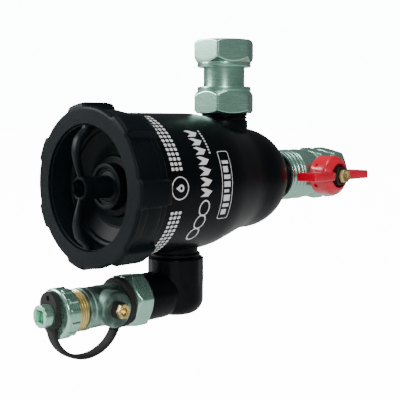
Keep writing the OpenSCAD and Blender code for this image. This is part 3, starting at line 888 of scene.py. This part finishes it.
def union_nut(turn):
    """Hexagon that runs into a round collar through a turned cone."""
    outline = flats(6, UNION_AF, turn)

    def limit(angle, z):
        return soft_min(outline(angle), 18.9 + z / CONE, 18.7 + max(0.0, 15.5 - z))
    rows = steps_between(0, 2.4, 8) + [4.5, 7, 9.5] + steps_between(11.3, 15.4, 14)
    profile = [(16.9, 0.6), (17.4, 0.05), (17.6, 0), (18.5, 0)] + [(OPEN, z, limit) for z in rows]
    profile += rounded([(18.5, 15.6, 0), (18.8, 15.9, 0.2), (18.8, NUT_H, 0.5),
                        (14.8, NUT_H, 0.4), (14.8, 16.6, 0)], 0.3)
    return revolve(profile + [(16.9, 16.4)], 180)


def hexagon(across, height, turn, bore):
    """Chamfered hexagon with a bore."""
    outline = flats(6, across, turn)
    start = across / 2 - 0.1

    def limit(angle, z):
        return soft_min(outline(angle), start + z / CONE, start + (height - z) / CONE)
    edge = min(height * 0.35, (across * CORNER_SHARE + 0.4) * CONE + 0.3)
    heights = steps_between(0, edge, 8) + steps_between(height - edge, height, 8)
    profile = [(bore, 0.4), (bore + 0.4, 0), (across / 2 - 0.6, 0)] + [(OPEN, z, limit) for z in heights]
    profile += [(across / 2 - 0.6, height), (bore + 0.4, height), (bore, height - 0.4)]
    return revolve(profile, 144)


class FILTER_OT_inlet_union(bpy.types.Operator):
    """Build the inlet's two union nuts and the tail between them"""
    bl_idname = "filter.inlet_union"
    bl_label = "Inlet Union"

    def execute(self, context):
        turn = 32.0
        upper = on_inlet(INLET_TOP) @ Matrix.Rotation(pi, 4, "X")
        piece("inlet_nut_plated", [(union_nut(turn), on_inlet(46.0))], "inlet_nut",
              nickel_finish("z"), ["inlet_nut"], 70)
        piece("pipe_nut_plated", [(union_nut(-turn), upper)], "pipe_nut",
              nickel_finish("z"), ["pipe_nut"], 70)
        tail = rounded([(12.6, 59.6, 0.2), (16.4, 59.6, 0.3), (16.4, 61.3, 0.3), (14.4, 61.3, 0.2),
                        (14.4, 81.3, 0.2), (16.4, 81.3, 0.3), (16.4, 83.9, 0.3), (12.6, 83.9, 0.3)], 0.3)
        piece("inlet_tail_plated", [(revolve(tail, 112), on_inlet(INLET_LIFT))], "filter",
              nickel_finish("z"), ["inlet_tail"])
        return {"FINISHED"}


class FILTER_OT_outlet_valve(bpy.types.Operator):
    """Build the outlet union, the ball valve's body and its compression nut"""
    bl_idname = "filter.outlet_valve"
    bl_label = "Outlet Valve"

    def execute(self, context):
        finish = nickel_finish("y")
        nut = [(17.0, 55.3, 0.3), (18.9, 55.3, 0.5), (18.9, 57.6, 0.5), (17.5, 58.2, 0.3)]
        for k in range(3):
            foot, crest = 58.6 + 4.0 * k, 18.9 + 0.15 * k
            nut += [(17.6, foot, 0.4), (crest, foot + 0.8, 1.2), (crest, foot + 3.0, 1.2),
                    (17.6, foot + 3.7, 0.4)]
        nut += [(14.6, 70.9, 0.3), (14.6, 69.2, 0), (17.0, 69.1, 0)]
        piece("outlet_nut_plated", [(revolve(rounded(nut, 0.3, 4), 144), along(0))], "outlet_nut",
              finish, ["outlet_nut"])
        barrel = rounded([
            (11.5, 71.3, 0.3), (17.2, 71.3, 0.5), (18.4, 72.8, 0.6), (18.8, 77.2, 0.8), (19.2, 78.4, 0.6),
            (19.2, 80.6, 0.6), (18.4, 81.4, 0.5), (18.4, 91.0, 0.5), (17.4, 91.8, 0.4), (17.4, 94.0, 0.1),
            (11.5, 94.0, 0.1)], 0.4, 4)
        grip = hexagon(36.0, 14.2, turn=42, bore=14.1)
        socket = rounded([(14.05, 106.4, 0), (16.2, 106.4, 0), (16.2, 108.6, 0.3), (15.4, 109.2, 0)], 0.3)
        socket += thread(109.4, 118.6, THREAD_R, 0.9, 1.8) + [(15.4, 119.0), (14.3, 119.0), (14.05, 118.7)]
        stem = rounded([(4.1, 12, 0), (9.0, 12, 0), (8.2, 19.5, 1.5), (8.2, 24.4, 0.5),
                        (4.1, 24.4, 0.3)], 0.3, 4)
        piece("valve_body_plated",
              [(revolve(barrel, 128), along(0)), (grip, along(93.8)), (revolve(socket, 112), along(0)),
               (revolve(stem, 72), sideways(BALL_Y, 0))],
              "filter", finish, ["valve_body"], 60)
        piece("compression_nut_plated", [(hexagon(36.0, 14.2, turn=18, bore=14.1), facing(125.0))],
              "compression_nut", finish, ["compression_nut"], 60)
        return {"FINISHED"}


class FILTER_OT_lever(bpy.types.Operator):
    """Build the butterfly lever, its nut and the end of the stem"""
    bl_idname = "filter.lever"
    bl_label = "Valve Lever"

    def execute(self, context):
        place = sideways(BALL_Y, 0)
        hub = rounded([
            (4.1, 27.2, 0.2), (8.9, 27.2, 0.3), (8.9, 22.9, 0.3), (14.0, 22.3, 0.4), (14.8, 23.0, 0.6),
            (14.8, 35.8, 1.4), (10.6, 39.6, 1.0), (9.2, 40.0, 0.5), (8.8, 39.4, 0.3), (8.8, 31.2, 0.3),
            (4.1, 31.2, 0.2)], 0.4, 5)
        half = 3.2
        wings = [(rounded_block((-half, low, 25.4), (half, high, 42.9), 1.1, 4), place)
                 for low, high in ((-33.2, -8.9), (8.9, 33.2))]
        pads = [(rounded_block((-half - 0.5, low, 25.0), (half + 0.5, high, 37.8), 0.9, 3), place)
                for low, high in ((-15.1, -8.8), (8.8, 15.1))]
        lever = piece("lever_coated", [(revolve(hub, 112), place)] + wings + pads, "lever",
                      lever_finish(), ["lever"])
        dimples = []
        pin = revolve([(0, 0), (1.55, 0), (1.55, 3), (0, 3)], 24)
        for angle in (60, 120, 240, 300):
            outward = place @ Matrix.Rotation(radians(angle), 4, "Z") @ Matrix.Translation((13.4, 0, 27.5))
            dimples.append((pin, outward @ Matrix.Rotation(pi / 2, 4, "Y")))
        cut_away(lever, dimples)
        raised = place @ Matrix.Translation((0, 0, 32.5))
        piece("lever_nut_black", [(hexagon(13.4, 9.8, turn=60, bore=4.12), raised)],
              "lever", black_nut_finish(), ["lever_nut"])
        outline = flats(6, 9.4, 0, 44)
        end = [(3.98, 12.4), (3.98, 42.6), (4.6, 42.7)]
        end += [(OPEN, z, lambda angle, z: soft_min(outline(angle), 4.6 + (46.0 - z) / 0.6, soft=0.1))
                for z in steps_between(42.8, 46.0, 8)]
        end += [(4.2, 46.0), (2.1, 46.0), (1.75, 45.6), (1.75, 43.4), (0, 43.4), (0, 12.4)]
        tang = rounded_block((-1.3, -2.8, 10.0), (1.3, 2.8, 12.8), 0.2, 1)
        piece("valve_stem_brass", [(revolve(end, 60), place), (tang, place)], "lever",
              brass_finish(), ["valve_stem"])
        return {"FINISHED"}


# ---------------------------------------------------------------- drain

class FILTER_OT_elbow(bpy.types.Operator):
    """Build the swivel elbow below the body"""
    bl_idname = "filter.elbow"
    bl_label = "Drain Elbow"

    def execute(self, context):
        top, leg_r, heel = -50.2, 18.6, 10.5
        bottom = DRAIN_Z / MM - 14.8
        octagon = flats(8, 2 * leg_r - 0.5, 22.5, 60)

        def outline(angle, z):
            share = smooth((z - (DRAIN_Z / MM + 1.0)) / 9.0)
            return leg_r * (1 - share) + min(leg_r + 0.2, octagon(angle)) * share
        arc = [(leg_r - heel + heel * cos(a), bottom + heel + heel * sin(a))
               for a in steps_between(-pi / 2, 0, 12)]
        leg = [(0, bottom)] + arc[:-1]
        leg += [(OPEN, z, outline) for z in steps_between(bottom + heel, top - 1.4, 22)]
        lip = [(OPEN, z, lambda angle, z: outline(angle, z) - 0.8 * smooth((z - top + 1.3) / 1.3) ** 2)
               for z in steps_between(top - 1.2, top, 5)]
        leg += lip + [(16.8, top), (15.4, top - 0.2), (13.6, top - 1.2), (13.5, top - 12), (9, top - 12),
                      (9, DRAIN_Z / MM), (0, DRAIN_Z / MM - 6)]
        place = placed(DRAIN_Y, 0, 0)
        branch = rounded([(9, 2, 0), (14.9, 2, 0), (15.0, 12, 0), (15.6, 15, 2), (15.6, 33.8, 0.6),
                          (13.6, 34.4, 0.3), (12.3, 34.6, 0)], 0.4, 4)
        branch += thread(34.8, 42.8, 13.2, 0.9, 1.8) + [(12.2, 43.3), (9.3, 43.3), (9, 43.0)]
        piece("elbow_moulding", [(revolve(leg, 160), place), (revolve(branch, 112), on_drain(0))],
              "drain_elbow", body_finish(), ["elbow"], 45)
        return {"FINISHED"}


class FILTER_OT_drain_valve(bpy.types.Operator):
    """Build the drain valve: nut, body, side boss, spindle and brass outlet"""
    bl_idname = "filter.drain_valve"
    bl_label = "Drain Valve"

    def execute(self, context):
        outline = flats(6, 32.6, 38)

        def limit(angle, z):
            return soft_min(outline(angle), 16.2 + z / CONE, 15.6 + max(0.0, 12.9 - z) / 0.8)
        rows = steps_between(0, 1.8, 6) + [4, 7] + steps_between(9.0, 12.8, 12)
        nut = [(13.5, 0.4), (13.9, 0), (15.9, 0)] + [(OPEN, z, limit) for z in rows]
        nut += [(15.0, 13.1), (14.6, 13.2), (11.6, 13.2), (11.4, 13.0), (11.4, 11.2), (13.5, 11.0)]
        piece("drain_nut_plated", [(revolve(nut, 144), on_drain(34.7))], "drain_nut",
              nickel_finish("y"), ["drain_nut"], 60)
        body = rounded([
            (6, 45.8, 0.2), (11, 45.8, 0.3), (11, 48.2, 0.2), (12.8, 48.3, 0.3), (12.8, 66, 0),
            (12.9, 77.0, 0.3), (12.4, 77.6, 0.2), (12.4, 78.2, 0.2), (13.4, 78.6, 0.3), (13.4, 81.8, 0.5),
            (9.6, 81.9, 0.2), (9.6, 60, 0), (6, 58, 0)], 0.3, 3)
        side = sideways(DRAIN_Y - DRAIN_BALL_S * MM, DRAIN_Z)
        boss = rounded([(3.1, 10.4, 0), (11.2, 4, 0), (11.3, 17.0, 0.3), (10.4, 18.0, 0.8),
                        (3.1, 18.0, 0.3)], 0.3, 4)
        ball = [(13.0 * cos(a), 13.0 * sin(a)) for a in steps_between(-pi / 3, pi / 3, 12)]
        swell = [(9.7, -10.5)] + ball + [(9.7, 10.5)]
        piece("drain_body_plated",
              [(revolve(body, 128), on_drain(0)), (revolve(swell, 96), on_drain(DRAIN_BALL_S)),
               (revolve(boss, 96), side)],
              "drain_elbow", knurled_finish(), ["drain_body"], 50)
        hexa, hole = flats(6, 8.6, 0, 44), flats(6, 4.4, 0, 40)
        rows = [(3.0, 9.2), (3.0, 21.4), (3.4, 21.6)]
        rows += [(OPEN, z, lambda angle, z: soft_min(hexa(angle), 4.3 + (24.6 - z) / 0.6, soft=0.1))
                 for z in steps_between(21.7, 24.6, 8)]
        rows += [(3.6, 24.6), (2.7, 24.6)] + [(OPEN, z, lambda angle, z: hole(angle)) for z in (24.3, 21.2)]
        rows += [(0, 21.0), (0, 9.2)]
        tang = rounded_block((-1.3, -2.2, 6.9), (1.3, 2.2, 9.4), 0.2, 1)
        piece("drain_spindle_brass", [(revolve(rows, 72), side), (tang, side)], "drain_spindle",
              brass_finish(), ["drain_spindle"], 50)
        brass = rounded([(6, 75.9, 0.2), (9.4, 75.9, 0.3), (9.4, 82.1, 0), (12.0, 82.2, 0)], 0.2)
        brass += thread(82.3, 95.6, 13.2, 1.1, 1.8) + [(12.2, 96.0), (11.8, 96.3), (6.4, 96.3), (6, 96.0)]
        piece("drain_outlet_brass", [(revolve(brass, 128), on_drain(0))], "drain_elbow",
              brass_finish(), ["drain_outlet"], 60)
        return {"FINISHED"}


class FILTER_OT_drain_cap(bpy.types.Operator):
    """Build the drain's cap with its lugs and square key"""
    bl_idname = "filter.drain_cap"
    bl_label = "Drain Cap"

    def execute(self, context):
        count = sizes().cap_lugs

        def outline(angle, z):
            lug = lobe_share(angle, count, turn=9, half_top=5.2, half_foot=7.4)
            lug = lug * smooth((z - 0.7) / 0.5) * smooth((7.4 - z) / 0.5)
            rim = smooth((z - 7.0) / 0.9)
            return 14.55 + 0.95 * max(lug, rim)
        rows = steps_between(0.3, 8.7, 40)
        key = flats(4, 7.5, 0, 60)
        cap = [(13.5, 0.4), (13.8, 0), (14.2, 0)] + [(OPEN, z, outline) for z in rows]
        cap += [(15.4, 9.0), (15.1, 9.5), (14.5, 9.85), (13.7, 9.9), (12.6, 9.75), (11.8, 9.6),
                (7.3, 9.6), (7.0, 9.9)]
        cap += rounded([(7.0, 10.2, 0), (7.0, 20.1, 0.7), (5.6, 20.1, 0.1)], 0.4, 4)
        cap += [(OPEN, z, lambda angle, z: key(angle) + 0.35 * smooth((z - 19.4) / 0.7))
                for z in (20.1, 19.8, 19.4, 13.1)]
        cap += [(0, 13.1), (0, 7.1), (13.3, 7.1), (13.5, 6.9)]
        piece("drain_cap_plated", [(revolve(cap, 240), on_drain(90.3))], "drain_cap",
              nickel_finish("y"), ["drain_cap"], 45)
        return {"FINISHED"}


class FILTER_OT_strap(bpy.types.Operator):
    """Build the rubber strap from the cap's eyelet to its loop round the valve"""
    bl_idname = "filter.strap"
    bl_label = "Cap Strap"

    def execute(self, context):
        outer = circle_loop(0, 5.6, 8.4, 30, -2, 182) + circle_loop(0, 0, 9.2, 30, 186, 354)
        eyelet = slab([outer, circle_loop(0, 0, 7.35, 48), circle_loop(0, 10.2, 1.7, 24)], 0.3, 3.7)
        loop = rounded([(12.95, 48.8, 0.4), (16.2, 48.8, 0.9), (16.2, 53.0, 0.9), (12.95, 53.0, 0.4)], 0.5, 4)
        middle, half, top, sag = 77.1, 25.0, -7.6, 22.4

        def hang(t):
            """A point on the hanging band, from the eyelet at 0 to the loop at 1."""
            angle = pi * (1 + t)
            return (0, top + sag * sin(angle), middle - half * cos(angle))
        whole = [hang(t) for t in steps_between(0.0, 0.90, 44)]
        band = ribbon(whole, lambda t: 7.6 + 0.8 * abs(2 * t - 1) ** 2, lambda t: 2.7,
                      corner=5.0, around=24)
        fork = []
        start = hang(0.86)
        for side in (-1, 1):
            path = []
            for t in steps_between(0, 1, 14):
                path.append((side * (1.4 + 11.6 * smooth(t)), start[1] + 9.6 * t - 0.4 * sin(pi * t),
                             start[2] - 5.4 * smooth(t * 1.1)))
            arm = ribbon(path, lambda t: 3.8, lambda t: 2.8, side=(0.35, 0, 1), corner=3.0, around=20)
            fork.append((arm, on_drain(0)))
        shells = [(revolve(loop, 96), on_drain(0)), (band, on_drain(0)), (eyelet, on_drain(100.6))]
        piece("cap_strap_rubber", shells + fork, "drain_elbow", rubber_finish(),
              ["cap_strap"], 45)
        return {"FINISHED"}


# ---------------------------------------------------------------- plain finishes and stage

class FILTER_OT_inner_finishes(bpy.types.Operator):
    """Give the pieces that keep their CAD shape their finishes"""
    bl_idname = "filter.inner_finishes"
    bl_label = "Inner Pieces"

    def execute(self, context):
        finishes = {
            "body_plastic": body_finish(), "ring_plastic": ring_finish(), "rubber": rubber_finish(),
            "stainless": steel_finish(), "white_plastic": white_finish(), "magnet_steel": steel_finish(),
            "fibre": fibre_finish(), "nickel": nickel_finish("y"), "drain_metal": drain_finish("y"),
            "brass": brass_finish(), "lever_red": lever_finish(), "black_nut": black_nut_finish(),
        }
        for row in frame["record"]["subparts"]:
            node = frame["nodes"][row["node"]]
            if node.hide_render:
                continue
            node.data.materials.clear()
            node.data.materials.append(finishes[row["material_slot"]])
        return {"FINISHED"}


class FILTER_OT_stage(bpy.types.Operator):
    """Set the floor, the lights and the camera"""
    bl_idname = "filter.stage"
    bl_label = "Stage"

    def execute(self, context):
        self.floor(context)
        self.lights(context)
        self.camera(context)
        return {"FINISHED"}

    def floor(self, context):
        """A pale round floor, slightly dished so that its edge lifts out of sight."""
        low, wide = CAD_BOX[0].z - 0.055, 9.0
        rows = [(0.0, 0.0), (1.5, 0.0), (4.0, 0.02), (wide, 0.12), (wide, -0.1), (0.0, -0.1)]
        middle = (CAD_BOX[0] + CAD_BOX[1]) / 2
        place = Matrix.Translation((middle.x, middle.y, low))
        floor = bpy.data.objects.new("floor", as_mesh("floor", [(revolve(rows, 96), place)]))
        context.scene.collection.objects.link(floor)
        material, tree, shader = blank("floor_paint", Roughness=0.9)
        shader.inputs["Base Color"].default_value = (0.93, 0.93, 0.93, 1)
        shader.inputs["Emission Strength"].default_value = BACKDROP_GLOW
        seen = tree.nodes.new("ShaderNodeLightPath").outputs["Is Camera Ray"]
        tree.links.new(between(tree, seen, (0, 0, 0), (1, 1, 1)), shader.inputs["Emission Color"])
        floor.data.materials.append(material)

    def lights(self, context):
        """A dim world that looks bright to the camera, and three area lights."""
        world = bpy.data.worlds.new("studio")
        world.use_nodes = True
        tree = world.node_tree
        background = tree.nodes["Background"]
        background.inputs["Color"].default_value = (0.92, 0.96, 1.0, 1)
        seen = tree.nodes.new("ShaderNodeLightPath").outputs["Is Camera Ray"]
        glow = math_node(tree, "MULTIPLY", seen, BACKDROP_GLOW)
        tree.links.new(math_node(tree, "ADD", glow, 0.14), background.inputs["Strength"])
        context.scene.world = world
        target = (CAD_BOX[0] + CAD_BOX[1]) / 2
        for name, spot, size, power in (
                ("key", (-1.05, -1.1, 0.65), (0.7, 0.7), 26.0),
                ("top", (0.15, -0.35, 1.2), (0.45, 0.8), 6.0),
                ("front", (0.9, -0.95, 0.5), (0.25, 0.25), 6.0)):
            light = bpy.data.lights.new(name, "AREA")
            light.shape = "RECTANGLE"
            light.size, light.size_y = size
            light.energy = power
            lamp = bpy.data.objects.new(name, light)
            lamp.location = spot
            lamp.rotation_euler = (target - Vector(spot)).to_track_quat("-Z", "Y").to_euler()
            context.scene.collection.objects.link(lamp)

    def camera(self, context):
        data = bpy.data.cameras.new("camera")
        data.lens = 76.5
        data.sensor_width = 36.0
        data.clip_start = 0.01
        camera = bpy.data.objects.new("camera", data)
        camera.location = (0.4145, -0.5634, 0.0404)
        camera.rotation_euler = (radians(90 - 5.28), 0, radians(45))
        context.scene.collection.objects.link(camera)
        context.scene.camera = camera


STEPS = (
    FILTER_OT_body, FILTER_OT_print, FILTER_OT_locking_ring, FILTER_OT_cap_dish, FILTER_OT_pull_handle,
    FILTER_OT_inlet_union, FILTER_OT_outlet_valve, FILTER_OT_lever, FILTER_OT_elbow, FILTER_OT_drain_valve,
    FILTER_OT_drain_cap, FILTER_OT_strap, FILTER_OT_inner_finishes, FILTER_OT_stage,
)


class FILTER_PT_panel(bpy.types.Panel):
    """The filter's sizes, colours and building steps"""
    bl_idname = "FILTER_PT_panel"
    bl_label = "Magnetic Filter"
    bl_space_type = "VIEW_3D"
    bl_region_type = "UI"
    bl_category = "Filter"

    def draw(self, context):
        for settings in (context.scene.filter_sizes, context.scene.filter_colours):
            for name in settings.__annotations__:
                self.layout.prop(settings, name)
        for step in STEPS:
            self.layout.operator(step.bl_idname)


CLASSES = (FilterSizes, FilterColours) + STEPS + (FILTER_PT_panel,)


def register():
    for cls in CLASSES:
        bpy.utils.register_class(cls)
    bpy.types.Scene.filter_sizes = PointerProperty(type=FilterSizes)
    bpy.types.Scene.filter_colours = PointerProperty(type=FilterColours)


def unregister():
    del bpy.types.Scene.filter_colours
    del bpy.types.Scene.filter_sizes
    for cls in reversed(CLASSES):
        bpy.utils.unregister_class(cls)


def main():
    register()
    for step in STEPS:
        category, name = step.bl_idname.split(".")
        getattr(getattr(bpy.ops, category), name)()


if __name__ == "__main__":
    main()
